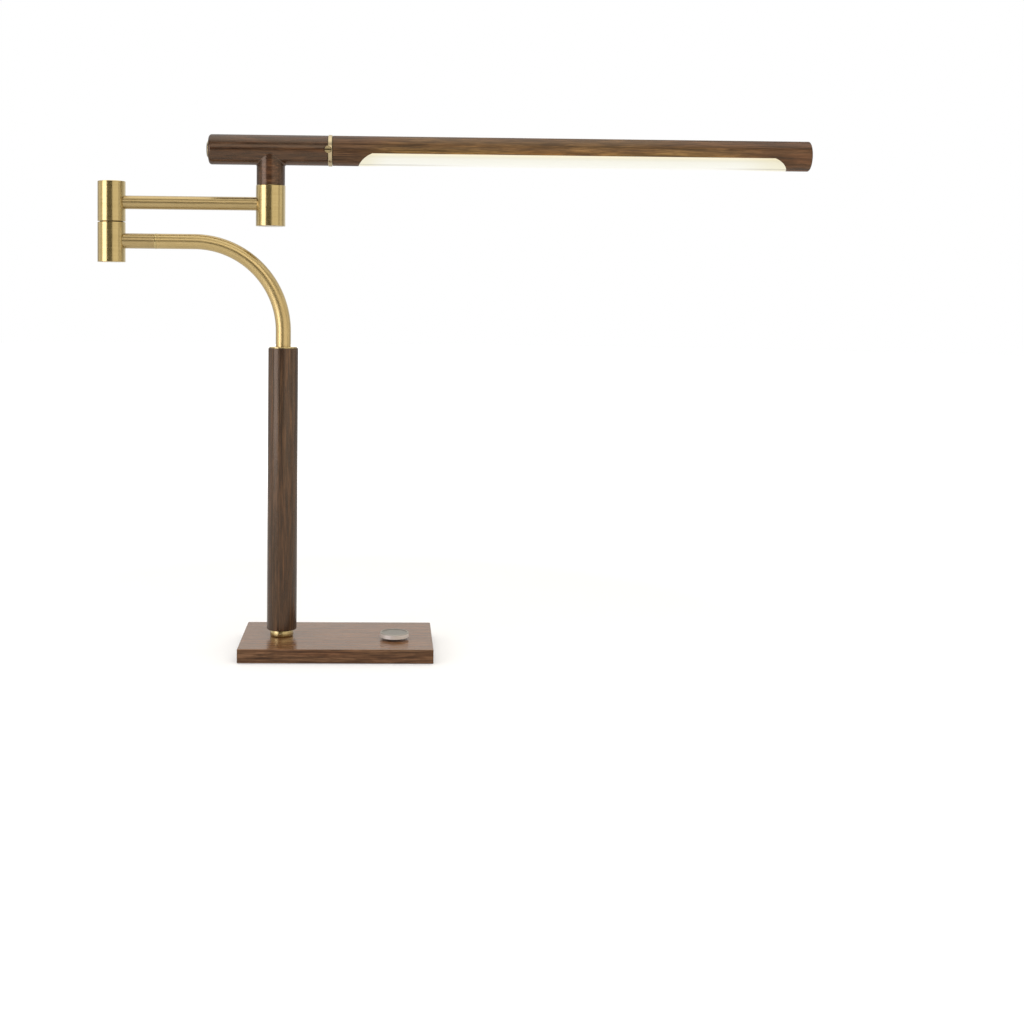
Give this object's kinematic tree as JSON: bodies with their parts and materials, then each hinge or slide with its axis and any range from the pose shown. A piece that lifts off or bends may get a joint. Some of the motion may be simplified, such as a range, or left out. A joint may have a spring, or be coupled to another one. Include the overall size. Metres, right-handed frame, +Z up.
{
  "type": "swing-arm desk lamp",
  "caption": "Desk lamp with a round column on a flat base, a bent tube, a folding swing arm, and a long round light bar that swivels and rolls; push-and-turn dimmer.",
  "frame": {"origin": "middle of the underside of the base, on the surface that the lamp stands on", "axes": "+Z up, +X along the base towards its dimmer end and the light's tip, +Y to the back"},
  "size_m": [0.7459, 0.121, 0.5412],
  "materials": {
    "walnut": "oiled",
    "brass": "satin brushed",
    "dark_brass": "darkened",
    "steel": "zinc plated",
    "aluminium": "satin anodised",
    "foam_rubber": "matt",
    "black_plastic": "moulded",
    "slip_plastic": "turned",
    "circuit_board": "coated",
    "white_board": "coated",
    "lead_cover": "matt",
    "led": "clear over phosphor",
    "opal_acrylic": "opal"
  },
  "bodies": {
    "stand": {"base_plate": "walnut", "ballast_plate": "steel", "bottom_cover": "steel", "cover_screws": "steel", "anti_slip_sheet": "foam_rubber", "cord_grommet": "black_plastic", "column_collar": "brass", "column": "walnut", "tie_rod": "steel", "tie_washer": "steel", "tie_nut": "steel", "column_ferrule": "brass", "bent_tube": "brass", "elbow_stub": "brass", "tube_coupler": "steel", "lower_barrel": "brass", "lower_barrel_lid": "brass", "elbow_glide_washer": "slip_plastic", "dimmer_housing": "black_plastic", "dimmer_bush": "steel", "dimmer_nut": "steel", "contact_dome": "steel", "driver_board": "circuit_board", "driver_parts": "black_plastic", "base_lead": "lead_cover"},
    "swing_arm": {"upper_barrel": "brass", "upper_barrel_lid": "brass", "elbow_bolt": "steel", "elbow_washers": "steel", "elbow_nut": "steel", "arm_tube": "brass", "head_barrel": "brass", "head_barrel_lid": "brass", "neck_glide_washer": "slip_plastic", "arm_lead": "lead_cover"},
    "head": {"neck_bolt": "steel", "neck_washers": "steel", "neck_nut": "steel", "head_tee": "walnut", "neck_insert": "steel", "tee_end_cap": "dark_brass", "ring_sleeve": "brass", "ring_lock_screw": "brass", "roll_glide_washer": "slip_plastic", "head_lead": "lead_cover"},
    "light": {"roll_bolt": "steel", "roll_washers": "steel", "roll_nut": "steel", "light_bar": "walnut", "bar_plug": "steel", "bar_end_cap": "dark_brass", "led_channel": "aluminium", "channel_screws": "steel", "led_board": "white_board", "leds": "led", "diffuser": "opal_acrylic", "bar_lead": "lead_cover"},
    "dimmer_turner": {"dimmer_rotor": "black_plastic"},
    "dimmer_push": {"dimmer_knob": "aluminium", "dimmer_shaft": "steel"}
  },
  "joints": [
    {"name": "elbow_swing", "type": "hinge", "parent": "stand", "child": "swing_arm", "pos_m": [-0.2378, 0, 0.4488], "axis": [0, 0, 1], "range_deg": [-170, 170]},
    {"name": "head_swivel", "type": "hinge", "parent": "swing_arm", "child": "head", "pos_m": [-0.0727, 0, 0.4882], "axis": [0, 0, 1], "range_deg": [-170, 170]},
    {"name": "bar_roll", "type": "hinge", "parent": "head", "child": "light", "pos_m": [-0.0727, 0, 0.52495], "axis": [1, 0, 0], "range_deg": [-90, 90]},
    {"name": "dimmer_turn", "type": "hinge", "parent": "stand", "child": "dimmer_turner", "pos_m": [0.0603, -0.014, 0.0147], "axis": [0, 0, 1], "range_deg": [-150, 150]},
    {"name": "dimmer_press", "type": "slide", "parent": "dimmer_turner", "child": "dimmer_push", "axis": [0, 0, -1], "range_m": [0, 0.001], "stiffness_N_per_m": 1500, "springref_m": -0.0005}
  ]
}
